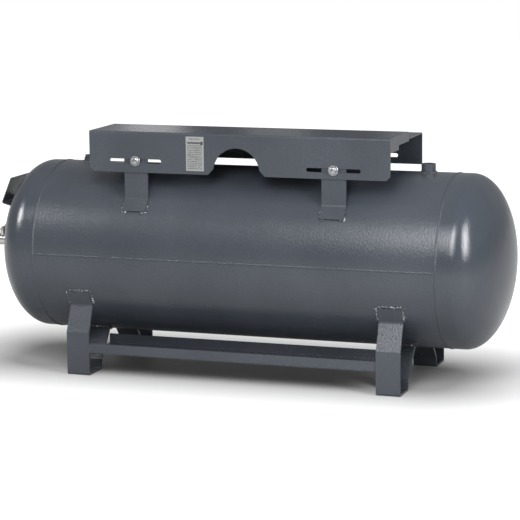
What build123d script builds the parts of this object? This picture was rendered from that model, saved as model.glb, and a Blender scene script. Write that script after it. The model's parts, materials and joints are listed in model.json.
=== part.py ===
from build123d import *
import math
import os

# A horizontal compressed air receiver on four folded feet, with a compressor platform on top.
# Millimetres. Origin on the floor, midway between the feet. +X along the tank, +Z up.
# The front of the tank faces -Y, and the outlet valve is on the left (-X) head.

# Pressure vessel
tank_radius = 250.0
axis_height = 349.0
sheet = 4.0
seam_x = 604.0
skirt = 38.0
head_depth = 125.0
pole_x = seam_x + skirt + head_depth
seam_angle = 1.1

# Feet
foot_x = 469.0
foot_width = 70.0
foot_sheet = 6.0
foot_face_y = 244.0
foot_depth = 88.0
knee_height = 125.0
foot_hole_y = 200.0
foot_hole_radius = 6.5

# Rail between the front feet
rail_sheet = 3.0
rail_bottom = 66.0
rail_height = 30.0
rail_face_y = 241.0
rail_back_y = 88.0

# Platform and its posts
flange_y = 192.0
flange_bottom = 596.0
platform_top = 690.0
ledge_top = 713.5
ledge_back_y = 0.0
ledge_left = -440.0
ledge_right = 462.0
platform_right = 450.0
platform_sheet = 4.0
platform_underside = platform_top - platform_sheet
end_plate_bottom = 673.0
end_plate_step_y = -104.0
corner_cut = 12.0
notch_x = 10.0
notch_radius = 70.0
notch_centre_z = 604.0
notch_mouth = 86.0
post_x = 297.5
post_width = 72.0
post_sheet = 5.0
post_top = 652.0
post_tab_angle = 32.7
slot_length = 159.0
slot_height = 11.5
bolt_z_left = 629.0
bolt_z_right = 620.5
pump_hole_spacing_x = 520.0
pump_hole_spacing_y = 120.0
pump_hole_radius = 6.5

# Screws
bolt_radius = 5.0
bolt_head = 6.4
bolt_flats = 16.0
washer_radius = 15.0
washer_sheet = 2.5
nut_height = 8.0
bolt_spare = 3.0

# Ports: a threaded socket has an outside radius, a bore radius and a place
port_x = 520.0
port_radius = 20.5
port_bore = 15.15
port_top = 624.0
port_length = 36.0
plug_top = 611.0
plug_flats = 34.0
outlet_radius = 18.0
outlet_bore = 9.3
outlet_end = 784.0
drain_x = -505.0
drain_radius = 15.0
drain_bore = 6.0
drain_bottom = 84.0
side_port_y = 112.0
side_port_rise = 62.0
side_port_radius = 12.0
side_port_bore = 5.0
side_port_end = 766.0

# Outlet ball valve
valve_x = -820.0
valve_flats = 32.0
valve_radius = 17.0
valve_left = -856.0
valve_way = 7.5
ball_radius = 12.0
seat_gap = 0.3
ball_flat = 11.0
stem_radius = 4.95
stem_hole = 5.0
neck_radius = 8.5
neck_top = 27.0
lever_z = 31.0
lever_sheet = 2.5
lever_width = 14.0
lever_reach = 92.0

# Rating label and name plate
label_size = (54.0, 98.0)
label_x = -114.0
label_z = 655.0
label_sheet = 0.6
plate_width = 110.0
plate_sheet = 3.0


def save(shape, name):
    export_step(shape, "parts/" + name + ".step")


def ring(outer, inner, height):
    """A tube along +Z standing on the origin."""
    tube = Cylinder(outer, height, align=(Align.CENTER, Align.CENTER, Align.MIN))
    if inner > 0:
        tube -= Cylinder(inner, height, align=(Align.CENTER, Align.CENTER, Align.MIN))
    return tube


def hexagon(flats, height):
    """A hexagonal prism along +Z standing on the origin."""
    outline = RegularPolygon(flats / 2, 6, major_radius=False)
    return extrude(outline, height)


def pointing_left(shape, x, y, z):
    """Turn +Z to -X and move to a place."""
    return Pos(x, y, z) * Rot(0, -90, 0) * shape


def folded(points, thickness, bend, side, plane, width, centre):
    """Sheet metal: a bent line with a thickness, extruded evenly about its centre."""
    line = FilletPolyline(*points, radius=bend)
    strip = make_face(offset(line, amount=thickness, side=side, closed=True))
    return plane.offset(centre) * extrude(strip, width / 2, both=True)


def vessel_cylinder(radius):
    tube = Cylinder(radius, 2 * seam_x)
    return Pos(0, 0, axis_height) * Rot(0, 90, 0) * tube


def on_tank(radius, angle):
    """The front point (y, z) at an angle above the tank's centre line."""
    turn = math.radians(angle)
    return (-radius * math.cos(turn), axis_height + radius * math.sin(turn))


# --- pressure vessel -------------------------------------------------------

def make_shell():
    outer = vessel_cylinder(tank_radius)
    inner = vessel_cylinder(tank_radius - sheet)
    return outer - inner


def dome(radius, depth):
    """A filled right head: a straight skirt and half an ellipse, turned about the tank's axis."""
    edges = [
        EllipticalCenterArc((skirt, 0), depth, radius, start_angle=0, arc_size=90),
        Line((skirt, radius), (0, radius)),
        Line((0, radius), (0, 0)),
        Line((0, 0), (skirt + depth, 0)),
    ]
    return Pos(seam_x, 0, axis_height) * revolve(make_face(edges), Axis.X, 360)


def make_head():
    """A 2:1 elliptical dished end, opening towards -X."""
    return dome(tank_radius, head_depth) - dome(tank_radius - sheet, head_depth - sheet)


def make_girth_weld():
    crown = ThreePointArc((-3.5, tank_radius), (0, tank_radius + 1.6), (3.5, tank_radius))
    bead = make_face([crown, Line((-3.5, tank_radius), (3.5, tank_radius))])
    return Pos(seam_x, 0, axis_height) * revolve(bead, Axis.X, 360)


def make_seam_weld():
    y, z = on_tank(tank_radius - 0.4, seam_angle)
    bead = Pos(0, y, z) * Rot(0, 90, 0) * Cylinder(3.2, 2 * seam_x - 8)
    flat = Pos(0, 0, axis_height) * Rot(0, 90, 0) * Cylinder(tank_radius + 1.3, 2 * seam_x - 8)
    return (bead & flat) - vessel_cylinder(tank_radius)


# --- feet and rail ---------------------------------------------------------

def make_foot(x, side):
    """A strip folded into a foot; side is -1 at the front and 1 at the back."""
    wall = tank_radius + foot_sheet
    heel = -foot_face_y + foot_depth
    points = [
        on_tank(wall, -24.1),
        on_tank(wall, -34.9),
        (-foot_face_y, knee_height),
        (-foot_face_y, 0),
        (heel, 0),
        (heel + 6, 30),
        (-72, 123),
    ]
    foot = folded(points, foot_sheet, 8, Side.LEFT, Plane.YZ, foot_width, x)
    foot -= vessel_cylinder(tank_radius)
    foot -= Pos(x, -foot_hole_y, 0) * Cylinder(foot_hole_radius, 4 * foot_sheet)
    if side > 0:
        foot = mirror(foot, about=Plane.XZ)
    return foot


def make_rail():
    """A channel, open upwards, from one front foot to the other."""
    points = [
        (-rail_face_y, rail_bottom + rail_height),
        (-rail_face_y, rail_bottom),
        (-rail_back_y, rail_bottom),
        (-rail_back_y, rail_bottom + rail_height),
    ]
    length = 2 * foot_x - foot_width
    return folded(points, rail_sheet, 4, Side.LEFT, Plane.YZ, length, 0)


# --- platform --------------------------------------------------------------

def bolt_height(x):
    """The slots and bolts of the left posts sit a little higher than those of the right ones."""
    return bolt_z_left if x < 0 else bolt_z_right


def make_post(x, side):
    """A strap whose lower end lies on the tank and whose upper end holds a flange."""
    face_y = flange_y - platform_sheet
    wall = tank_radius + post_sheet
    bend = math.degrees(math.acos(face_y / wall))
    points = [on_tank(wall, post_tab_angle), on_tank(wall, bend), (-face_y, post_top)]
    post = folded(points, post_sheet, 12, Side.RIGHT, Plane.YZ, post_width, x)
    post -= vessel_cylinder(tank_radius)
    bolt_hole = Rot(90, 0, 0) * Cylinder(bolt_radius + 0.5, 4 * post_sheet)
    post -= Pos(x, -face_y, bolt_height(x)) * bolt_hole
    if side > 0:
        post = mirror(post, about=Plane.XZ)
    return post


def slot_cut(x, y):
    slot = extrude(SlotOverall(slot_length, slot_height), 4 * platform_sheet, both=True)
    return Pos(x, y, bolt_height(x)) * Rot(90, 0, 0) * slot


def corner_cuts():
    """Wedges that trim the two lower corners of the front flange."""
    cuts = []
    for x, way in ((ledge_left, 1), (ledge_right, -1)):
        wedge = Polygon((0, 0), (way * corner_cut, 0), (0, corner_cut), align=None)
        block = Plane.XZ * extrude(wedge, 2 * corner_cut, both=True)
        cuts.append(Pos(x, -flange_y, flange_bottom) * block)
    return cuts


def make_ledge():
    """The front flange with the raised ledge folded back from its upper edge."""
    points = [
        (-flange_y, flange_bottom),
        (-flange_y, ledge_top),
        (ledge_back_y, ledge_top),
        (ledge_back_y, platform_underside),
    ]
    length = ledge_right - ledge_left
    centre = (ledge_right + ledge_left) / 2
    ledge = folded(points, platform_sheet, 6, Side.RIGHT, Plane.YZ, length, centre)
    for x in (-post_x, post_x):
        ledge -= slot_cut(x, -flange_y)
    for cut in corner_cuts():
        ledge -= cut
    round_part = Rot(90, 0, 0) * Cylinder(notch_radius, 8 * platform_sheet)
    ledge -= Pos(notch_x, -flange_y, notch_centre_z) * round_part
    flare_height = 17
    flare_top = notch_radius - 1
    outline = [(-notch_mouth, 0), (notch_mouth, 0), (flare_top, flare_height), (-flare_top, flare_height)]
    mouth = Polygon(*outline, align=None)
    flare = Plane.XZ * extrude(mouth, 4 * platform_sheet, both=True)
    ledge -= Pos(notch_x, -flange_y, flange_bottom) * flare
    return ledge


def make_platform():
    """The level top sheet and the rear flange in one fold."""
    points = [(ledge_back_y, platform_top), (flange_y, platform_top), (flange_y, flange_bottom)]
    length = platform_right - ledge_left
    centre = (platform_right + ledge_left) / 2
    top = folded(points, platform_sheet, 6, Side.RIGHT, Plane.YZ, length, centre)
    for x in (-post_x, post_x):
        top -= slot_cut(x, flange_y)
    hole_y = (ledge_back_y + flange_y) / 2
    for sx in (-0.5, 0.5):
        for sy in (-0.5, 0.5):
            hole = Cylinder(pump_hole_radius, 4 * platform_sheet)
            x = notch_x + sx * pump_hole_spacing_x
            top -= Pos(x, hole_y + sy * pump_hole_spacing_y, platform_top) * hole
    return top


def make_end_plate(x):
    """Closes one end of the ledge, deeper over its front part; x is the plate's middle."""
    front = -flange_y + platform_sheet
    back = ledge_back_y - platform_sheet
    top = ledge_top - platform_sheet
    outline = Polygon(
        (front, end_plate_bottom),
        (end_plate_step_y, end_plate_bottom),
        (end_plate_step_y, platform_underside),
        (back, platform_underside),
        (back, top),
        (front, top),
        align=None,
    )
    outline = fillet(outline.vertices().group_by(Axis.Y)[-1], 2.3)
    return Plane.YZ.offset(x) * extrude(outline, platform_sheet / 2, both=True)


def at_posts(make):
    """One copy at each of the four posts, built for the front and turned round for the back."""
    group = []
    for x in (-post_x, post_x):
        piece = Pos(x, 0, bolt_height(x)) * make()
        group.append(piece)
        group.append(mirror(piece, about=Plane.XZ))
    return Compound(children=group)


def make_bolt():
    grip = washer_sheet + platform_sheet + post_sheet + nut_height + bolt_spare
    shank = Cylinder(bolt_radius, grip, align=(Align.CENTER, Align.CENTER, Align.MAX))
    bolt = shank + hexagon(bolt_flats, bolt_head)
    return Pos(0, -flange_y - washer_sheet, 0) * Rot(90, 0, 0) * bolt


def make_washer():
    return Pos(0, -flange_y, 0) * Rot(90, 0, 0) * ring(washer_radius, bolt_radius + 0.5, washer_sheet)


def make_nut():
    nut = hexagon(bolt_flats, nut_height) - Cylinder(bolt_radius, 4 * nut_height)
    back = -flange_y + platform_sheet + post_sheet + nut_height
    return Pos(0, back, 0) * Rot(90, 0, 0) * nut


# --- ports -----------------------------------------------------------------

def cut_round(radius, height):
    return Cylinder(radius, height, align=(Align.CENTER, Align.CENTER, Align.MIN))


def make_top_socket(x, top):
    return Pos(x, 0, top - port_length) * ring(port_radius, port_bore, port_length)


def make_plug():
    """Hexagon headed plug for the spare top socket."""
    plug = cut_round(port_bore - 0.1, 22)
    plug += Pos(0, 0, 22) * hexagon(plug_flats, 7)
    return Pos(-port_x, 0, plug_top - 22) * plug


def side_socket(z):
    length = 24.0
    tube = ring(side_port_radius, side_port_bore, length)
    return pointing_left(tube, -side_port_end + length, side_port_y, z)


def side_hole(z):
    return pointing_left(cut_round(side_port_radius, 80), -pole_x + 60, side_port_y, z)


# --- outlet valve ----------------------------------------------------------

def make_valve_body():
    spigot = pointing_left(cut_round(outlet_bore - 0.1, 14), -774, 0, 0)
    near = pointing_left(hexagon(valve_flats, 14), -788, 0, 0)
    barrel = pointing_left(cut_round(valve_radius, 36), -802, 0, 0)
    far = pointing_left(hexagon(valve_flats, 18), -838, 0, 0)
    neck = Pos(valve_x, 0, 0) * cut_round(neck_radius, neck_top)
    body = spigot + near + barrel + far + neck
    body -= pointing_left(cut_round(valve_way, 90), -770, 0, 0)
    body -= pointing_left(cut_round(outlet_bore, 18), valve_left + 18, 0, 0)
    body -= Pos(valve_x, 0, 0) * Sphere(ball_radius + seat_gap)
    body -= Pos(valve_x, 0, 0) * cut_round(stem_hole, 2 * neck_top)
    return Pos(0, 0, axis_height) * body


def make_ball():
    """Closed at rest, so its way runs along Y."""
    ball = Sphere(ball_radius) - Rot(90, 0, 0) * Cylinder(valve_way, 4 * ball_radius)
    ball -= Pos(0, 0, ball_flat) * cut_round(ball_radius, ball_radius)
    return Pos(valve_x, 0, axis_height) * ball


def make_stem():
    stem = Pos(0, 0, ball_flat) * cut_round(stem_radius, lever_z - ball_flat)
    stem += Pos(0, 0, lever_z) * cut_round(3, 9)
    return Pos(valve_x, 0, axis_height) * stem


def make_gland():
    gland = hexagon(17, 3.4) - cut_round(stem_hole, 10)
    return Pos(valve_x, 0, axis_height + neck_top) * gland


def make_lever():
    """A flat strip from the stem towards +Y with a lift beyond the valve body."""
    lift = [(-9, 0), (18, 0), (30, 7), (lever_reach, 7)]
    line = FilletPolyline(*lift, radius=6)
    strip = make_face(offset(line, amount=lever_sheet, side=Side.LEFT, closed=True))
    lever = Plane.YZ * extrude(strip, lever_width / 2, both=True)
    lever -= Cylinder(3.05, 30)
    return Pos(valve_x, 0, axis_height + lever_z) * lever


def make_grip():
    """Dipped plastic sleeve with rounded ends over the outer half of the lever."""
    start = 36.0
    length = lever_reach - start + 3
    sleeve = Box(lever_width + 5, length, 8.5, align=(Align.CENTER, Align.MIN, Align.CENTER))
    sleeve = fillet(sleeve.edges(), 2.5)
    strip = Box(lever_width, lever_reach - start, lever_sheet, align=(Align.CENTER, Align.MIN, Align.CENTER))
    sleeve -= strip
    return Pos(valve_x, start, axis_height + lever_z + 7 + lever_sheet / 2) * sleeve


def make_lever_nut():
    nut = hexagon(10, 5) - cut_round(3, 10)
    return Pos(valve_x, 0, axis_height + lever_z + lever_sheet) * nut


# --- name plate ------------------------------------------------------------

def make_plate_bracket():
    points = [(-700, 562), (-762, 547), (-795, 469), (-735, 454)]
    line = FilletPolyline(*points, radius=6)
    strip = make_face(offset(line, amount=plate_sheet, side=Side.LEFT, closed=True))
    bracket = Plane.XZ * extrude(strip, plate_width / 2, both=True)
    return bracket - mirror(dome(tank_radius, head_depth), about=Plane.YZ)


def make_name_plate():
    top = Vector(-762, 0, 547)
    foot = Vector(-795, 0, 469)
    middle = (top + foot) / 2
    lean = math.degrees(math.atan2(top.X - foot.X, top.Z - foot.Z))
    plate = Box(1, plate_width - 14, 62, align=(Align.MAX, Align.CENTER, Align.CENTER))
    return Pos(middle.X, 0, middle.Z) * Rot(0, lean, 0) * plate


# --- drain -----------------------------------------------------------------

def make_drain_socket():
    tank_bottom = axis_height - tank_radius
    height = tank_bottom + 8 - drain_bottom
    return Pos(drain_x, 0, drain_bottom) * ring(drain_radius, drain_bore, height)


def make_drain_body():
    body = Pos(0, 0, 46) * cut_round(7, 38)
    body += Pos(0, 0, 76) * hexagon(19, 8)
    body += Pos(0, 0, 62) * Rot(90, 0, 0) * Cylinder(9, 26)
    body += Pos(0, 0, 84) * cut_round(drain_bore - 0.1, 12)
    body -= Pos(0, 0, 40) * cut_round(3, 60)
    body -= Pos(0, 0, 62) * Rot(90, 0, 0) * Cylinder(5, 40)
    return Pos(drain_x, 0, 0) * body


def make_drain_key():
    """Cross-bored plug with a wing; at rest the wing and the bore lie level, which is shut."""
    key = Rot(90, 0, 0) * Cylinder(4.95, 30)
    key -= Rot(0, 90, 0) * Cylinder(2.8, 30)
    wing = Pos(0, -19, 0) * Box(32, 8, 5)
    wing = fillet(wing.edges().filter_by(Axis.Y), 2)
    key += wing
    return Pos(drain_x, 0, 62) * key


# --- pressure gauge and safety valve --------------------------------------

gauge_z = axis_height + side_port_rise
relief_z = axis_height - side_port_rise


def make_gauge_body():
    stem = cut_round(side_port_bore - 0.1, 16)
    nut = Pos(0, 0, 16) * hexagon(14, 8)
    case = Pos(0, 0, 24) * cut_round(26, 24)
    case -= Pos(0, 0, 27) * cut_round(23.5, 30)
    return pointing_left(stem + nut + case, -750, side_port_y, gauge_z)


def make_gauge_dial():
    return pointing_left(cut_round(23.4, 1), -778, side_port_y, gauge_z)


def make_gauge_needle():
    needle = Pos(0, 0, 1.5) * Box(1.6, 26, 1, align=(Align.CENTER, Align.CENTER, Align.MIN))
    needle = Pos(0, 4, 0) * needle
    needle += Pos(0, 0, 1.5) * cut_round(3, 1.5)
    needle = Rot(0, 0, 135) * needle
    return pointing_left(needle, -779, side_port_y, gauge_z)


def make_gauge_lens():
    return pointing_left(cut_round(23.4, 2), -794, side_port_y, gauge_z)


def make_relief_body():
    body = cut_round(side_port_bore - 0.1, 16)
    body += Pos(0, 0, 16) * hexagon(17, 9)
    body += Pos(0, 0, 25) * cut_round(8, 22)
    body += Pos(0, 0, 47) * cut_round(6, 6)
    body -= Pos(0, 0, 30) * cut_round(2.5, 40)
    for turn in (0, 90, 180, 270):
        vent = Rot(90, 0, 0) * cut_round(1.5, 12)
        body -= Pos(0, 0, 36) * Rot(0, 0, turn) * vent
    return pointing_left(body, -750, side_port_y, relief_z)


def make_relief_pull():
    """Spindle with a pull ring, which lifts the safety valve by hand."""
    pull = Pos(0, 0, 34) * cut_round(2.45, 24)
    pull += Pos(0, 0, 70) * Rot(90, 0, 0) * Torus(13, 1.25)
    return pointing_left(pull, -750, side_port_y, relief_z)


# --- write one file per piece ----------------------------------------------

os.makedirs("parts", exist_ok=True)

port_hole = Pos(port_x, 0, axis_height) * cut_round(port_radius, 2 * tank_radius)
plug_hole = Pos(-port_x, 0, axis_height) * cut_round(port_radius, 2 * tank_radius)
drain_hole = Pos(drain_x, 0, 0) * cut_round(drain_radius, axis_height)
outlet_hole = pointing_left(cut_round(outlet_radius, 80), -pole_x + 40, 0, axis_height)

head = make_head()
left_head = mirror(head, about=Plane.YZ)
save(make_shell() - port_hole - plug_hole - drain_hole, "shell")
save(left_head - outlet_hole - side_hole(gauge_z) - side_hole(relief_z), "head_left")
save(head, "head_right")
save(make_girth_weld(), "girth_weld_right")
save(mirror(make_girth_weld(), about=Plane.YZ), "girth_weld_left")
save(make_seam_weld(), "seam_weld")

for name, x in (("left", -1), ("right", 1)):
    save(make_foot(x * foot_x, -1), "foot_front_" + name)
    save(make_foot(x * foot_x, 1), "foot_rear_" + name)
    save(make_post(x * post_x, -1), "post_front_" + name)
    save(make_post(x * post_x, 1), "post_rear_" + name)
save(make_rail(), "rail")

save(make_ledge(), "platform_front")
save(make_platform(), "platform_top")
save(make_end_plate(ledge_left + platform_sheet / 2), "end_plate_left")
save(make_end_plate(ledge_right - platform_sheet / 2), "end_plate_right")
save(at_posts(make_bolt), "platform_bolts")
save(at_posts(make_washer), "platform_washers")
save(at_posts(make_nut), "platform_nuts")
label = Box(label_size[0], label_sheet, label_size[1], align=(Align.CENTER, Align.MAX, Align.CENTER))
save(Pos(label_x, -flange_y, label_z) * label, "rating_label")

save(make_top_socket(port_x, port_top), "port_socket")
save(make_top_socket(-port_x, plug_top), "spare_socket")
save(make_plug(), "port_plug")
outlet_tube = ring(outlet_radius, outlet_bore, outlet_end - pole_x + 8)
save(pointing_left(outlet_tube, -pole_x + 8, 0, axis_height), "outlet_socket")
save(make_valve_body(), "valve_body")
save(make_gland(), "valve_gland")
save(make_ball(), "valve_ball")
save(make_stem(), "valve_stem")
save(make_lever(), "valve_lever")
save(make_grip(), "lever_grip")
save(make_lever_nut(), "lever_nut")
save(make_plate_bracket(), "plate_bracket")
save(make_name_plate(), "name_plate")

save(make_drain_socket(), "drain_socket")
save(make_drain_body(), "drain_body")
save(make_drain_key(), "drain_key")
save(side_socket(gauge_z), "gauge_socket")
save(make_gauge_body(), "gauge_body")
save(make_gauge_dial(), "gauge_dial")
save(make_gauge_needle(), "gauge_needle")
save(make_gauge_lens(), "gauge_lens")
save(side_socket(relief_z), "relief_socket")
save(make_relief_body(), "relief_body")
save(make_relief_pull(), "relief_pull")
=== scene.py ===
import json
import math
import random
import bpy
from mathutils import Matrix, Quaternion, Vector


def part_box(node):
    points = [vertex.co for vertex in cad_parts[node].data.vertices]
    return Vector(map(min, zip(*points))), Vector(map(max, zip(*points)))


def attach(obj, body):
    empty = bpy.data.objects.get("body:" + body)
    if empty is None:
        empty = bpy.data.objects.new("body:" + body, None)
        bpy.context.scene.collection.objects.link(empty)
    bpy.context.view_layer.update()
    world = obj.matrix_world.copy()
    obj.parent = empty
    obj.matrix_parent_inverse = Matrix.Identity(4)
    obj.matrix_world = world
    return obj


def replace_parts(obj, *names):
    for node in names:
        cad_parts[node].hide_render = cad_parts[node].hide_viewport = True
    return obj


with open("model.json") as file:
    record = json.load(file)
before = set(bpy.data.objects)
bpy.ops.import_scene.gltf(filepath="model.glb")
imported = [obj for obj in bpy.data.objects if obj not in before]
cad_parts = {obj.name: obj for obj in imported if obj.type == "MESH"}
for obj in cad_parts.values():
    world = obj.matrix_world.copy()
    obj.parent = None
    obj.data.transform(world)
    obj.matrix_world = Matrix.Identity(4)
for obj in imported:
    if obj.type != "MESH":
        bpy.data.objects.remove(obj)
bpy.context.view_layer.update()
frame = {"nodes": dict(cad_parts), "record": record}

mm = 0.001
upward = Vector((0, 0, 1))
alongTank = Vector((1, 0, 0))


# Shader values as Python expressions: a Wire holds one output socket.
class Wire:
    def __init__(self, paint, socket):
        self.paint = paint
        self.socket = socket

    def maths(self, operation, *values):
        return self.paint.node("ShaderNodeMath", {"operation": operation}, dict(enumerate(values)))

    def __add__(self, other):
        return self.maths("ADD", self, other)

    def __sub__(self, other):
        return self.maths("SUBTRACT", self, other)

    def __rsub__(self, other):
        return self.maths("SUBTRACT", other, self)

    def __mul__(self, other):
        return self.maths("MULTIPLY", self, other)

    def __truediv__(self, other):
        return self.maths("DIVIDE", self, other)

    def __gt__(self, other):
        return self.maths("GREATER_THAN", self, other)

    def __lt__(self, other):
        return self.maths("LESS_THAN", self, other)

    __radd__ = __add__
    __rmul__ = __mul__

    def between(self, low, high):      # 0 at low, 1 at high, flat outside
        return self.paint.node("ShaderNodeMapRange", {"clamp": True}, {0: self, 1: low, 2: high})


class Paint:
    def __init__(self, name):
        self.material = bpy.data.materials.new(name)
        self.material.use_nodes = True
        self.tree = self.material.node_tree
        self.tree.nodes.clear()
        self.surface = self.tree.nodes.new("ShaderNodeBsdfPrincipled")
        output = self.tree.nodes.new("ShaderNodeOutputMaterial")
        self.tree.links.new(self.surface.outputs[0], output.inputs[0])

    def put(self, socket, value):
        if isinstance(value, Wire):
            self.tree.links.new(value.socket, socket)
        elif socket.type == "RGBA":
            socket.default_value = (*value, 1)
        else:
            socket.default_value = value

    def node(self, kind, settings, sockets, out=0):
        made = self.tree.nodes.new(kind)
        for key, value in settings.items():
            setattr(made, key, value)
        for key, value in sockets.items():
            self.put(made.inputs[key], value)
        return Wire(self, made.outputs[out])

    def place(self):
        return self.node("ShaderNodeTexCoord", {}, {}, "Object")

    def grain(self, scale, detail=3, roughness=0.5, stretch=(1, 1, 1)):
        where = self.node("ShaderNodeVectorMath", {"operation": "MULTIPLY"}, {0: self.place(), 1: stretch})
        sockets = {"Vector": where, "Scale": scale, "Detail": detail, "Roughness": roughness}
        return self.node("ShaderNodeTexNoise", {}, sockets)

    def mixed(self, factor, one, two):
        return self.node("ShaderNodeMix", {"data_type": "RGBA"}, {0: factor, 6: one, 7: two}, 2)

    def relief(self, height, strength, depth):
        sockets = {"Height": height, "Strength": strength, "Distance": depth}
        self.set(Normal=self.node("ShaderNodeBump", {}, sockets))

    def set(self, **sockets):
        for key, value in sockets.items():
            self.put(self.surface.inputs[key.replace("_", " ")], value)
        return self.material


# the first colour is the painted highlight colour of the glints on welds
enamel = dict(glintColour=(0.32, 0.34, 0.36), dark=(0.030, 0.036, 0.045), pale=(0.044, 0.050, 0.061), peel=230,
              depth=0.0024, fine=4, fineShare=0.18, cloud=3.5, dust=60, gloss=(0.18, 0.30), speck=150,
              speckLow=0.64, speckHigh=0.70)


def enamelPaint(name, strength, gloss=enamel["gloss"], glintShare=0.0):
    # the last argument sets how much of a weld shows painted highlight: bright specks painted in as glints
    paint = Paint(name)
    peel = paint.grain(enamel["peel"], 2, 0.45)
    fine = paint.grain(enamel["peel"] * enamel["fine"], 2)
    cloud = paint.grain(enamel["cloud"], 3)
    dust = paint.grain(enamel["dust"], 4, 0.6)
    paint.relief(peel + fine * enamel["fineShare"], strength, enamel["depth"])
    tone = (cloud * 0.7 + peel * 0.3).between(0.35, 0.68)
    matt = (cloud + dust) * 0.5
    colour = paint.mixed(tone, enamel["dark"], enamel["pale"])
    # painted highlight: bright specks on the weld stand in for glints
    if glintShare:
        specks = paint.grain(enamel["speck"], 2, 0.5)
        specks = specks.between(enamel["speckLow"] - glintShare, enamel["speckHigh"] - glintShare)
        colour = paint.mixed(specks, colour, enamel["glintColour"])
    return paint.set(Base_Color=colour, Roughness=gloss[0] + (gloss[1] - gloss[0]) * matt)


def metalFinish(name, dark, light, roughness, brush=(1, 1, 1), scale=90, relief=0.08):
    paint = Paint(name)
    grain = paint.grain(scale, 4, 0.6, brush)
    spots = paint.grain(14, 3)
    paint.relief(grain, relief, 0.0004)
    tone = (grain * 0.5 + spots * 0.5).between(0.3, 0.7)
    return paint.set(Base_Color=paint.mixed(tone, dark, light), Metallic=1.0,
                     Roughness=(roughness - 0.08) + 0.16 * grain)


def plasticFinish(name, dark, light, roughness, scale=300, relief=0.2):
    paint = Paint(name)
    grain = paint.grain(scale, 3, 0.55)
    patch = paint.grain(20, 3)
    paint.relief(grain, relief, 0.0004)
    return paint.set(Base_Color=paint.mixed(patch.between(0.3, 0.7), dark, light),
                     Roughness=(roughness - 0.06) + 0.12 * patch)


labelPrint = dict(rows=19, ruled=0.55, table=(0.08, 0.90, 0.04, 0.76), heading=(0.18, 0.78, 0.90, 0.95),
                  bar=(0.08, 0.80, 0.79, 0.845), mark=(0.82, 0.95, 0.76, 0.86), words=520,
                  paper=(0.23, 0.24, 0.235), ink=(0.03, 0.03, 0.035))


def labelFoil(name):
    # satin foil with ruled rows and blocks in place of words
    paint = Paint(name)
    low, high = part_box("rating_label")
    across = paint.node("ShaderNodeSeparateXYZ", {}, {0: paint.place()}, 0)
    rise = paint.node("ShaderNodeSeparateXYZ", {}, {0: paint.place()}, 2)
    across = (across - low[0]) / (high[0] - low[0])
    rise = (rise - low[2]) / (high[2] - low[2])

    def block(left, right, bottom, top):
        return (rise > bottom) * (rise < top) * (across > left) * (across < right)

    row = (rise * labelPrint["rows"]).maths("FRACT", rise * labelPrint["rows"])
    words = paint.grain(labelPrint["words"], 2, 0.5, (1, 1, 0.3))
    ruled = (row < labelPrint["ruled"]) * block(*labelPrint["table"])
    heading = block(*labelPrint["heading"]) * (words > 0.42)
    bar = block(*labelPrint["bar"]) * (words > 0.38)
    ink = ruled * (words > 0.44) * 0.75 + heading * 0.5 + bar * 0.9 + block(*labelPrint["mark"])
    grain = paint.grain(220, 3, 0.6, (1, 1, 12))
    paint.relief(grain, 0.05, 0.0002)
    return paint.set(Base_Color=paint.mixed(ink, labelPrint["paper"], labelPrint["ink"]), Metallic=0.25,
                     Roughness=0.38 + 0.12 * grain)


def clearLens(name):
    paint = Paint(name)
    smear = paint.grain(30, 3)
    return paint.set(Base_Color=(0.92, 0.95, 0.95), Roughness=0.03 + 0.05 * smear,
                     Alpha=0.14 + 0.05 * smear)


finishes = {
    "enamel": enamelPaint("enamel", 0.30, (0.17, 0.27)),
    "sheetEnamel": enamelPaint("sheetEnamel", 0.28, (0.20, 0.32)),
    "headEnamel": enamelPaint("headEnamel", 0.22, (0.10, 0.18)),
    "weldEnamel": enamelPaint("weldEnamel", 0.75),
    # painted highlight: this weld's bright specks stand in for glints
    "speckledWeld": enamelPaint("speckledWeld", 0.8, glintShare=0.08),
    "zinc": metalFinish("zinc", (0.27, 0.28, 0.29), (0.60, 0.61, 0.62), 0.26, (1, 1, 1), 240, 0.6),
    "nickel": metalFinish("nickel", (0.52, 0.51, 0.48), (0.70, 0.69, 0.66), 0.20),
    "stainless": metalFinish("stainless", (0.30, 0.30, 0.31), (0.45, 0.45, 0.46), 0.36, (1, 0.08, 1), 260),
    "brass": metalFinish("brass", (0.50, 0.35, 0.12), (0.66, 0.48, 0.20), 0.30),
    "vinyl": plasticFinish("vinyl", (0.010, 0.010, 0.012), (0.022, 0.022, 0.025), 0.48),
    "blackIron": plasticFinish("blackIron", (0.018, 0.018, 0.020), (0.040, 0.040, 0.044), 0.55, 220, 0.5),
    "gaugeCase": plasticFinish("gaugeCase", (0.012, 0.012, 0.013), (0.020, 0.020, 0.022), 0.30, 500, 0.08),
    "dialWhite": plasticFinish("dialWhite", (0.78, 0.78, 0.75), (0.86, 0.86, 0.84), 0.55, 500, 0.03),
    "printBlack": plasticFinish("printBlack", (0.010, 0.010, 0.010), (0.018, 0.018, 0.018), 0.5),
    "foil": labelFoil("foil"),
    "plainFoil": metalFinish("plainFoil", (0.55, 0.56, 0.57), (0.68, 0.69, 0.70), 0.35),
    "lens": clearLens("lens"),
}
slotFinish = {"paint": "sheetEnamel", "zinc": "zinc", "nickel": "nickel", "steel": "stainless",
              "grip": "vinyl", "plate": "plainFoil", "brass": "brass", "black_case": "gaugeCase",
              "black_plug": "blackIron", "dial": "dialWhite", "lens": "lens"}
ownFinish = {"shell": "enamel", "head_left": "headEnamel", "head_right": "headEnamel",
             "rating_label": "foil", "gauge_needle": "printBlack"}
for part in frame["record"]["subparts"]:
    materials = frame["nodes"][part["node"]].data.materials
    materials.clear()
    materials.append(finishes[ownFinish.get(part["node"], slotFinish[part["material_slot"]])])


def middle(node):
    low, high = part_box(node)
    return (Vector(low) + Vector(high)) / 2


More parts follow.
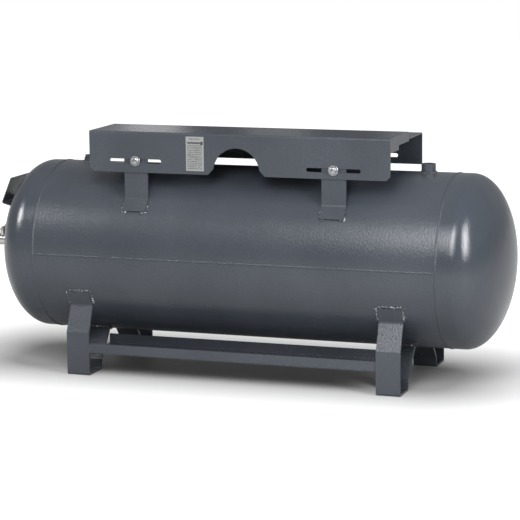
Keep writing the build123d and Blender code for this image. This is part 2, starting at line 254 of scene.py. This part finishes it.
shellLow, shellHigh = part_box("shell")
tankRadius = (shellHigh[1] - shellLow[1]) / 2
axisHeight = middle("shell").z
seamPlace = shellHigh[0]
headDepth = (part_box("head_right")[1][0] - seamPlace)


def onTank(x, angle, side=-1):      # angle above the middle; side -1 is the front
    turn = math.radians(angle)
    return Vector((x, side * tankRadius * math.cos(turn), axisHeight + tankRadius * math.sin(turn)))


def tankNormal(point):
    return Vector((0, point.y, point.z - axisHeight)).normalized()


smoothest = 35      # degrees; a sharper edge stays sharp


def makePiece(name, points, faces, finish, body="tank"):
    mesh = bpy.data.meshes.new(name)
    mesh.from_pydata([tuple(p) for p in points], [], faces)
    mesh.validate()
    mesh.materials.append(finishes[finish])
    mesh.polygons.foreach_set("use_smooth", [True] * len(mesh.polygons))
    mesh.set_sharp_from_angle(angle=math.radians(smoothest))
    piece = bpy.data.objects.new(name, mesh)
    bpy.context.collection.objects.link(piece)
    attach(piece, body)
    return piece


def netFaces(rows, columns, roundRows=False, roundColumns=True):
    faces = []
    for row in range(rows if roundRows else rows - 1):
        after = (row + 1) % rows
        for column in range(columns if roundColumns else columns - 1):
            side = (column + 1) % columns
            faces.append((row * columns + column, row * columns + side,
                          after * columns + side, after * columns + column))
    return faces


turnedSides = 48


def turned(rings, origin, axis, hollow=False):
    # each ring is a pair (radius, height), or a function of the turn that gives one
    axis = axis.normalized()
    side = axis.orthogonal().normalized()
    other = axis.cross(side)
    points = []
    for ring in rings:
        for step in range(turnedSides):
            turn = 2 * math.pi * step / turnedSides
            radius, height = ring(turn) if callable(ring) else ring
            outward = side * math.cos(turn) + other * math.sin(turn)
            points.append(origin + axis * height + outward * radius)
    faces = netFaces(len(rings), turnedSides, roundRows=hollow)
    if not hollow:
        faces.append(tuple(reversed(range(turnedSides))))
        faces.append(tuple((len(rings) - 1) * turnedSides + step for step in range(turnedSides)))
    return points, faces


def hexRadius(flats, turn):
    return flats / 2 / math.cos((turn + math.pi / 6) % (math.pi / 3) - math.pi / 6)


hexCrown = dict(share=0.475, slope=math.radians(30))


def hexRings(flats, height):      # a hexagon whose top corners are turned off at a slope
    crown = flats * hexCrown["share"]

    def foot(turn):
        return hexRadius(flats, turn), 0

    def shoulder(turn):
        radius = hexRadius(flats, turn)
        return radius, height - max(0, radius - crown) * math.tan(hexCrown["slope"])

    return [foot, shoulder, (crown, height)]


def gather(name, shapes, finish, body="tank"):
    points, faces = [], []
    for morePoints, moreFaces in shapes:
        offset = len(points)
        points += morePoints
        faces += [tuple(index + offset for index in face) for face in moreFaces]
    return makePiece(name, points, faces, finish, body)


beadShape = dict(pitch=3.6 * mm, samples=4, sides=6, ripple=0.16, lag=0.45, sink=0.25, tip=0.35, taper=1.2,
                 wander=((0.06, 210), (0.04, 77)), swell=0.3)
spatter = dict(spacing=7 * mm, spread=11 * mm, small=0.7 * mm, large=1.7 * mm)


def beadRun(track, width, height, closed=False, ripple=1.0):
    # a weld laid along (point, normal) pairs, with a scale ripple and tapered ends
    sides = beadShape["sides"]
    count = len(track)
    points = []
    walked = 0
    for index, (point, normal) in enumerate(track):
        before = track[index - 1 if index or closed else 0][0]
        after = track[(index + 1) % count if closed or index < count - 1 else index][0]
        heading = (after - before).normalized()
        across = normal.cross(heading).normalized()
        if index:
            walked += (point - track[index - 1][0]).length
        inward = min(index, count - 1 - index) / (beadShape["taper"] * beadShape["samples"])
        end = 1 if closed else min(1, beadShape["tip"] + inward)
        for side in range(sides + 1):
            bend = math.pi * side / sides
            crown = math.sin(bend)
            phase = (walked + beadShape["lag"] * width * crown) / beadShape["pitch"]
            wave = 1 + beadShape["ripple"] * ripple * math.sin(2 * math.pi * phase)
            wander = 1 + sum(share * math.sin(walked * rate) for share, rate in beadShape["wander"])
            spread = width / 2 * end * wander * (1 + beadShape["swell"] * (wave - 1))
            rise = height * (crown * wave - beadShape["sink"] * (1 - crown)) * end
            points.append(point + across * math.cos(bend) * spread + normal * rise)
    faces = netFaces(count, sides + 1, roundRows=closed, roundColumns=False)
    if not closed:
        faces.append(tuple(range(sides + 1)))
        faces.append(tuple(reversed(range((count - 1) * (sides + 1), count * (sides + 1)))))
    return points, faces


def spatterDots(track, draw):
    # small drops of metal thrown beside a weld
    points, faces = [], []
    length = sum((track[i + 1][0] - track[i][0]).length for i in range(len(track) - 1))
    for _ in range(round(length / spatter["spacing"])):
        index = draw.randrange(len(track) - 1)
        point, normal = track[index]
        heading = (track[index + 1][0] - point).normalized()
        across = normal.cross(heading).normalized()
        radius = draw.uniform(spatter["small"], spatter["large"])
        centre = point + across * draw.uniform(-1, 1) * spatter["spread"]
        outward = tankNormal(centre)
        centre += outward * (tankRadius - (Vector((0, centre.y, centre.z - axisHeight))).length)
        morePoints, moreFaces = dropShape(centre, outward, radius)
        faces += [tuple(corner + len(points) for corner in face) for face in moreFaces]
        points += morePoints
    return points, faces


drop = dict(rings=((1, -0.3), (0.93, 0.3), (0.55, 0.66)), sides=6, top=0.78)


def dropShape(centre, outward, radius):
    side = outward.orthogonal().normalized()
    other = outward.cross(side)
    rings, sides = drop["rings"], drop["sides"]
    points = []
    for reach, rise in rings:
        for step in range(sides):
            turn = 2 * math.pi * step / sides
            spoke = side * math.cos(turn) + other * math.sin(turn)
            points.append(centre + spoke * radius * reach + outward * radius * rise)
    points.append(centre + outward * radius * drop["top"])
    faces = netFaces(len(rings), sides)
    last = (len(rings) - 1) * sides
    faces += [(last + step, last + (step + 1) % sides, last + sides) for step in range(sides)]
    faces.append(tuple(reversed(range(sides))))
    return points, faces


def walk(corners, normalAt):
    # even steps along straight runs between corners, with a normal from each point
    step = beadShape["pitch"] / beadShape["samples"]
    track = []
    for start, end in zip(corners, corners[1:]):
        count = max(2, round((end - start).length / step))
        track += [start.lerp(end, index / count) for index in range(count)]
    track.append(corners[-1])
    return [(point, normalAt(point)) for point in track]


def ringWalk(radius, pointAt, normalAt):
    count = round(2 * math.pi * radius / beadShape["pitch"]) * beadShape["samples"]
    turns = [2 * math.pi * index / count for index in range(count)]
    return [(pointAt(turn), normalAt(turn)) for turn in turns]


vesselWeld = dict(girthWidth=7 * mm, girthRise=1.5 * mm, seamWidth=6 * mm, seamRise=1.2 * mm)


def girthWeld(name, node, x):
    def pointAt(turn):
        return Vector((x, tankRadius * math.cos(turn), axisHeight + tankRadius * math.sin(turn)))

    track = ringWalk(tankRadius, pointAt, lambda turn: Vector((0, math.cos(turn), math.sin(turn))))
    bead = beadRun(track, vesselWeld["girthWidth"], vesselWeld["girthRise"], closed=True)
    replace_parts(gather(name, [bead], "weldEnamel"), node)


girthWeld("girthBeadLeft", "girth_weld_left", -seamPlace)
girthWeld("girthBeadRight", "girth_weld_right", seamPlace)
seamLow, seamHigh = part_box("seam_weld")
seamMiddle = middle("seam_weld")
seamAngle = math.degrees(math.asin((seamMiddle.z - axisHeight) / tankRadius))
seamEnds = [onTank(seamLow[0], seamAngle), onTank(seamHigh[0], seamAngle)]
seamRun = beadRun(walk(seamEnds, tankNormal), vesselWeld["seamWidth"], vesselWeld["seamRise"])
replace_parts(gather("seamBead", [seamRun], "weldEnamel"), "seam_weld")
print("vessel welds laid")


footWeld = dict(width=8 * mm, rise=4.2 * mm, tabTop=-23.6, tabFoot=-34.5, wallOuter=-73.5, wallInner=-67.5)
postWeld = dict(width=6.5 * mm, rise=3.4 * mm, foot=32.3, top=38.5, stitch=16 * mm)
railWeld = dict(width=5 * mm, rise=2.2 * mm, foot=3 * mm, top=2 * mm)
socketWeld = dict(tankWidth=7.5 * mm, tankRise=3.6 * mm, headWidth=6 * mm, headRise=3 * mm, gap=0.8 * mm)
flankLean = 0.6      # how far a bead along an edge leans off the tank's normal
coarse = 1.8      # ripple of the hand-laid beads


def flankNormal(lean):
    def normalAt(point):
        return (tankNormal(point) + alongTank * lean).normalized()
    return normalAt


def footWelds(name, node, side):
    low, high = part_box(node)
    left, right = low[0] - 1.5 * mm, high[0] + 1.5 * mm
    top, foot = footWeld["tabTop"], footWeld["tabFoot"]
    steps = [foot + (top - foot) * index / 4 for index in range(5)]
    runs = [walk([onTank(left, angle, side) for angle in steps], flankNormal(-flankLean)),
            walk([onTank(left, top, side), onTank(right, top, side)], tankNormal),
            walk([onTank(right, angle, side) for angle in steps], flankNormal(flankLean))]
    for angle in (footWeld["wallOuter"], footWeld["wallInner"]):
        runs.append(walk([onTank(left, angle, side), onTank(right, angle, side)], tankNormal))
    draw = random.Random(name)
    shapes = [beadRun(run, footWeld["width"], footWeld["rise"], ripple=coarse) for run in runs]
    shapes += [spatterDots(run, draw) for run in runs[:3]]
    gather(name, shapes, "speckledWeld")


def postWelds(name, node, side):
    low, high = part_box(node)
    left, right = low[0] - 1 * mm, high[0] + 1 * mm
    foot, top, stitch = postWeld["foot"], postWeld["top"], postWeld["stitch"]
    steps = [foot + (top - foot) * index / 3 for index in range(4)]
    runs = [walk([onTank(left, angle, side) for angle in steps], flankNormal(-flankLean)),
            walk([onTank(right, angle, side) for angle in steps], flankNormal(flankLean)),
            walk([onTank(left, foot, side), onTank(left + stitch, foot, side)], tankNormal),
            walk([onTank(right - stitch, foot, side), onTank(right, foot, side)], tankNormal)]
    draw = random.Random(name)
    shapes = [beadRun(run, postWeld["width"], postWeld["rise"], ripple=coarse) for run in runs]
    shapes += [spatterDots(run, draw) for run in runs]
    gather(name, shapes, "speckledWeld")


for end in ("left", "right"):
    for face, side in (("front", -1), ("rear", 1)):
        footWelds("footWeld_" + face + "_" + end, "foot_" + face + "_" + end, side)
        postWelds("postWeld_" + face + "_" + end, "post_" + face + "_" + end, side)


def railWelds():
    low, high = Vector(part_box("rail")[0]), Vector(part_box("rail")[1])
    runs = []
    for x, lean in ((low.x, 1), (high.x, -1)):
        normal = Vector((lean, -1, 0)).normalized()
        ends = [Vector((x, low.y, low.z + railWeld["foot"])), Vector((x, low.y, high.z - railWeld["top"]))]
        runs.append(beadRun(walk(ends, lambda point: normal), railWeld["width"], railWeld["rise"]))
    gather("railWeld", runs, "weldEnamel")


railWelds()


def tankSocketWeld(name, node, side):
    centre = middle(node)
    radius = (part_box(node)[1][0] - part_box(node)[0][0]) / 2 + socketWeld["gap"]

    def pointAt(turn):
        y = radius * math.sin(turn)
        rise = math.sqrt(tankRadius ** 2 - y ** 2)
        return Vector((centre.x + radius * math.cos(turn), y, axisHeight + side * rise))

    def normalAt(turn):
        outward = Vector((math.cos(turn), math.sin(turn), 0))
        return (outward + upward * side).normalized()

    track = ringWalk(radius, pointAt, normalAt)
    bead = beadRun(track, socketWeld["tankWidth"], socketWeld["tankRise"], closed=True)
    gather(name, [bead], "weldEnamel")


def headSocketWeld(name, node):
    centre = middle(node)
    radius = (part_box(node)[1][1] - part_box(node)[0][1]) / 2 + socketWeld["gap"]
    skirt = headDepth - tankRadius / 2

    def pointAt(turn):
        y = centre.y + radius * math.cos(turn)
        z = centre.z + radius * math.sin(turn)
        away = math.hypot(y, z - axisHeight) / tankRadius
        return Vector((-seamPlace - skirt - tankRadius / 2 * math.sqrt(1 - away ** 2), y, z))

    def normalAt(turn):
        return Vector((-1, math.cos(turn), math.sin(turn))).normalized()

    track = ringWalk(radius, pointAt, normalAt)
    bead = beadRun(track, socketWeld["headWidth"], socketWeld["headRise"], closed=True)
    gather(name, [bead], "weldEnamel")


tankSocketWeld("portWeld", "port_socket", 1)
tankSocketWeld("spareWeld", "spare_socket", 1)
tankSocketWeld("drainWeld", "drain_socket", -1)
for name in ("outlet", "gauge", "relief"):
    headSocketWeld(name + "Weld", name + "_socket")
print("bracket and socket welds laid")


threads = dict(steps=40, ridge=0.62)
portThread = dict(length=22 * mm, pitch=2.31 * mm, depth=0.9 * mm, inset=1.5 * mm)
outletThread = dict(length=14 * mm, pitch=1.81 * mm, depth=0.7 * mm, inset=1.2 * mm)


def threadHelix(name, centre, axis, radius, thread, finish):
    axis = axis.normalized()
    side = axis.orthogonal().normalized()
    other = axis.cross(side)
    length, pitch = thread["length"], thread["pitch"]
    count = round(length / pitch * threads["steps"])
    track = []
    for index in range(count):
        turn = 2 * math.pi * index / threads["steps"]
        outward = side * math.cos(turn) + other * math.sin(turn)
        track.append((centre + outward * radius - axis * (length * index / count), -outward))
    bead = beadRun(track, pitch * threads["ridge"], thread["depth"], ripple=0)
    gather(name, [bead], finish)


def mountNamed(name):
    return next(mount for mount in frame["record"]["mounts"] if mount["name"] == name)


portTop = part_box("port_socket")[1][2]
portRadius = mountNamed("top_port")["dims"]["r_mm"] * mm
portCentre = Vector((middle("port_socket").x, 0, portTop - portThread["inset"]))
threadHelix("portThread", portCentre, upward, portRadius, portThread, "blackIron")
outletMount = mountNamed("outlet_port")
outletRadius = outletMount["dims"]["r_mm"] * mm
outletEnd = Vector(outletMount["pos_m"]) + alongTank * outletThread["inset"]
threadHelix("outletThread", outletEnd, -alongTank, outletRadius, outletThread, "nickel")
print("port threads cut")


screw = dict(radius=5 * mm, flats=16 * mm, head=6.4 * mm, pitch=1.5 * mm, washer=15 * mm,
             washerSheet=2.5 * mm, washerGap=0.5 * mm, washerEdge=0.4 * mm, nut=8 * mm, nutBack=9 * mm,
             nutMouth=0.6 * mm, nutLead=0.8 * mm, flangeRadius=9 * mm, flange=(0.9 * mm, 1.4 * mm),
             flangeEdge=0.6 * mm, length=22.5 * mm, shank=9 * mm, root=0.8 * mm,
             flank=(0.3 * mm, 0.75 * mm), point=1 * mm, lap=0.1 * mm)


def screwPlaces():
    low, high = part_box("platform_washers")
    radius, sheet = screw["washer"], screw["washerSheet"]
    heads = []
    for side, y in ((-1, low[1] + sheet), (1, high[1] - sheet)):
        for x, z in ((low[0] + radius, high[2] - radius), (high[0] - radius, low[2] + radius)):
            heads.append((Vector((x, y, z)), Vector((0, side, 0))))
    return heads      # where each washer meets the flange, and the way the head points


def boltShape(place, way):
    seat = place + way * screw["washerSheet"]
    radius, wide = screw["radius"], screw["flangeRadius"]
    edge, top = screw["flange"]
    flange = [(wide, 0), (wide, edge), (wide - screw["flangeEdge"], top)]
    shapes = [turned(flange, seat, way), turned(hexRings(screw["flats"], screw["head"]), seat, way)]
    rings = [(radius, screw["lap"]), (radius, -screw["shank"])]
    depth = -screw["shank"]
    crest, root = screw["flank"]
    while depth > screw["pitch"] - screw["length"]:
        rings += [(radius, depth - crest), (radius - screw["root"], depth - root)]
        depth -= screw["pitch"]
    rings += [(radius, depth), (radius - screw["point"], -screw["length"])]
    shapes.append(turned(list(reversed(rings)), seat, way))
    return shapes


def washerShape(place, way):
    outer, sheet, edge = screw["washer"], screw["washerSheet"], screw["washerEdge"]
    inner = screw["radius"] + screw["washerGap"]
    rings = [(inner, 0), (outer - edge, 0), (outer, edge), (outer, sheet - edge), (outer - edge, sheet),
             (inner + edge, sheet), (inner, sheet - edge)]
    return turned(rings, place, way, hollow=True)


def nutShape(place, way):
    radius, height = screw["radius"], screw["nut"]
    rings = hexRings(screw["flats"], height)
    rings += [(radius + screw["nutMouth"], height), (radius, height - screw["nutLead"]), (radius, 0)]
    return turned(rings, place - way * screw["nutBack"], -way, hollow=True)


places = screwPlaces()
bolts = [shape for place, way in places for shape in boltShape(place, way)]
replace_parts(gather("platformBolts", bolts, "zinc"), "platform_bolts")
washers = [washerShape(place, way) for place, way in places]
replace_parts(gather("platformWashers", washers, "zinc"), "platform_washers")
nuts = [nutShape(place, way) for place, way in places]
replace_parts(gather("platformNuts", nuts, "zinc"), "platform_nuts")
print("screws made at", len(places), "posts")


dial = dict(ticks=41, each=10, sweep=270, outer=21.5 * mm, long=4 * mm, short=2.2 * mm, bold=0.5 * mm,
            thin=0.22 * mm, lift=0.05 * mm, figures=("0", "4", "8", "12", "16"), figure=6.5 * mm,
            inset=4 * mm)


def dialTurn(share):      # the angle at a share of the sweep
    return math.radians(90 + dial["sweep"] / 2 - dial["sweep"] * share)


def dialTicks(face, centre):
    points, faces = [], []
    base = Vector((face, centre.y, centre.z))
    for tick in range(dial["ticks"]):
        turn = dialTurn(tick / (dial["ticks"] - 1))
        major = tick % dial["each"] == 0
        length = dial["long"] if major else dial["short"]
        half = dial["bold"] if major else dial["thin"]
        outward = Vector((0, -math.cos(turn), math.sin(turn)))
        across = Vector((0, math.sin(turn), math.cos(turn)))
        for reach, way in ((0, -1), (0, 1), (length, 1), (length, -1)):
            points.append(base + outward * (dial["outer"] - reach) + across * half * way)
        faces.append(tuple(range(len(points) - 4, len(points))))
    makePiece("dialTicks", points, faces, "printBlack")


def dialFigures(face, centre):
    reach = dial["outer"] - dial["long"] - dial["inset"]
    for index, figure in enumerate(dial["figures"]):
        turn = dialTurn(index / (len(dial["figures"]) - 1))
        letters = bpy.data.curves.new("dialFigure" + figure, "FONT")
        letters.body = figure
        letters.size = dial["figure"]
        letters.align_x = "CENTER"
        letters.align_y = "CENTER"
        letters.materials.append(finishes["printBlack"])
        piece = bpy.data.objects.new("dialFigure" + figure, letters)
        bpy.context.collection.objects.link(piece)
        piece.location = (face, centre.y - reach * math.cos(turn), centre.z + reach * math.sin(turn))
        piece.rotation_euler = (math.radians(90), 0, math.radians(-90))
        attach(piece, "tank")


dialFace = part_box("gauge_dial")[0][0] - dial["lift"]
dialTicks(dialFace, middle("gauge_dial"))
dialFigures(dialFace, middle("gauge_dial"))
print("gauge dial printed")


viewpoint = dict(eye=(2.0648, -5.8120, 1.3907), aim=(0.0305, -0.0487, 0.3484), roll=-0.0112, lens=147.85,
                 sensor=36, shift=(-0.0014, -0.0106), clip=60)


def makeCamera():
    camera = bpy.data.objects.new("studioCamera", bpy.data.cameras.new("studioCamera"))
    bpy.context.collection.objects.link(camera)
    eye = Vector(viewpoint["eye"])
    sight = Vector(viewpoint["aim"]) - eye
    camera.location = eye
    camera.rotation_mode = "QUATERNION"
    roll = Quaternion((0, 0, 1), viewpoint["roll"])
    camera.rotation_quaternion = sight.to_track_quat("-Z", "Y") @ roll
    camera.data.lens = viewpoint["lens"]
    camera.data.sensor_width = viewpoint["sensor"]
    camera.data.shift_x, camera.data.shift_y = viewpoint["shift"]
    camera.data.clip_end = viewpoint["clip"]
    bpy.context.scene.camera = camera


def softBox(name, box):
    light = bpy.data.lights.new(name, "AREA")
    light.shape = "RECTANGLE"
    light.size, light.size_y = box["size"]
    light.energy = box["power"]
    lamp = bpy.data.objects.new(name, light)
    bpy.context.collection.objects.link(lamp)
    lamp.location = box["place"]
    lamp.visible_camera = False
    lamp.visible_glossy = box.get("mirrored", False)
    lamp.visible_diffuse = box.get("lights", True)
    aim = Vector(box.get("aim", (0, 0, 0.4)))
    lamp.rotation_euler = (aim - Vector(box["place"])).to_track_quat("-Z", "Y").to_euler()


# centre, edge and fade shape the floor's painted glow, and so the painted shadow that it leaves under the
# tank
studio = dict(background=1.0, fill=0.30, bounce=0.45, floor=(0.31, 0.31, 0.31), centre=(-0.07, 0),
              edge=(0.60, 0.07), fade=(0.076, 0.566), far=10, half=14, speckle=0.97, roughness=0.6)
darkCards = dict(spans=((-0.83, -0.60), (-0.37, -0.06)), low=0.7, high=1.6, y=1.6)
# mirrored boxes show in the paint's highlights; a box with lights=False does nothing else
softBoxes = {
    "topBox": dict(place=(0, -0.9, 3.4), size=(4.6, 3.4), power=95),
    "frontFill": dict(place=(0.6, -5.4, 1.4), size=(4.0, 1.2), power=29, aim=(0, 0, 0.2)),
    "lowFill": dict(place=(0.3, -3.4, 0.22), size=(3.0, 0.4), power=10, aim=(0.05, 0, 0.15)),
    "leftFill": dict(place=(-2.6, -2.4, 0.8), size=(1.2, 0.8), power=6, aim=(-0.47, 0, 0.1)),
    "leftSheet": dict(place=(-4.3, -0.4, 1.5), size=(2.2, 1.4), power=28),
    "rightSheet": dict(place=(4.3, 0.2, 1.5), size=(2.2, 1.4), power=22),
    "ledgeBox": dict(place=(-0.98, 1.60, 1.05), size=(0.2, 0.6), power=0.26, aim=(-0.28, -0.1, 0.71),
                     mirrored=True, lights=False),
    "leftEndBox": dict(place=(-2.85, -1.75, 2.24), size=(1.0, 0.9), power=72, aim=(-0.65, -0.22, 0.46),
                       mirrored=True, lights=False),
    "rightBox": dict(place=(-0.18, -3.00, 2.60), size=(0.7, 1.0), power=9, aim=(0.6, -0.2, 0.45),
                     mirrored=True),
    "rightFrontBox": dict(place=(0.55, -3.10, 2.55), size=(0.9, 1.9), power=92, aim=(0.65, -0.2, 0.45),
                          mirrored=True),
    "rightEndBox": dict(place=(3.12, -1.65, 1.93), size=(0.8, 1.9), power=105, aim=(0.68, -0.2, 0.45),
                        mirrored=True),
}


def makeFloor():
    # the sweep glows as painted light away from the tank, weaker for rays other than the camera's; the
    # dark patch beneath the tank takes its shape from the glow's mask, as painted shadow, and its shading
    # from the lamps
    paint = Paint("studioFloor")
    where = paint.place()
    distances = []
    for axis, half in enumerate(studio["edge"]):
        along = paint.node("ShaderNodeSeparateXYZ", {}, {0: where}, axis) - studio["centre"][axis]
        distance = along.maths("ABSOLUTE", along) - half
        distances.append(distance.between(0, studio["far"]) * studio["far"])
    away = distances[0] * distances[0] + distances[1] * distances[1]
    away = away.maths("SQRT", away)
    glow = away.between(*studio["fade"])
    grain = paint.grain(6, 3)
    seen = paint.node("ShaderNodeLightPath", {}, {}, "Is Camera Ray")
    glow = glow * (studio["bounce"] + (1 - studio["bounce"]) * seen)
    darker = tuple(channel * studio["speckle"] for channel in studio["floor"])
    paint.set(Base_Color=paint.mixed(grain, studio["floor"], darker), Roughness=studio["roughness"],
              Emission_Color=paint.mixed(glow, (0, 0, 0), (1, 1, 1)), Emission_Strength=1.0)
    mesh = bpy.data.meshes.new("studioFloor")
    half = studio["half"]
    corners = [(-half, -half, 0), (half, -half, 0), (half, half, 0), (-half, half, 0)]
    mesh.from_pydata(corners, [], [(0, 1, 2, 3)])
    mesh.materials.append(paint.material)
    ground = bpy.data.objects.new("studioFloor", mesh)
    bpy.context.collection.objects.link(ground)


def makeCards():      # seen only in reflections: they darken two stretches of the platform's ledge
    y, low, high = darkCards["y"], darkCards["low"], darkCards["high"]
    for index, (left, right) in enumerate(darkCards["spans"]):
        name = "darkCard_" + str(index)
        mesh = bpy.data.meshes.new(name)
        corners = [(left, y, low), (right, y, low), (right, y, high), (left, y, high)]
        mesh.from_pydata(corners, [], [(0, 1, 2, 3)])
        mesh.materials.append(finishes["printBlack"])
        card = bpy.data.objects.new(name, mesh)
        bpy.context.collection.objects.link(card)
        card.visible_camera = False
        card.visible_diffuse = False
        card.visible_shadow = False


def makeSky():
    # a white background with a weaker fill light from the same sky
    world = bpy.data.worlds.new("studioSky")
    world.use_nodes = True
    nodes = world.node_tree.nodes
    background = nodes["Background"]
    background.inputs["Color"].default_value = (1, 1, 1, 1)
    rays = nodes.new("ShaderNodeLightPath")
    strength = nodes.new("ShaderNodeMapRange")
    strength.inputs["To Min"].default_value = studio["fill"]
    strength.inputs["To Max"].default_value = studio["background"]
    world.node_tree.links.new(rays.outputs["Is Camera Ray"], strength.inputs["Value"])
    world.node_tree.links.new(strength.outputs[0], background.inputs["Strength"])
    bpy.context.scene.world = world


makeCamera()
makeFloor()
makeCards()
makeSky()
for name, box in softBoxes.items():
    softBox(name, box)
bpy.context.scene.view_settings.view_transform = "Standard"
print("studio ready")
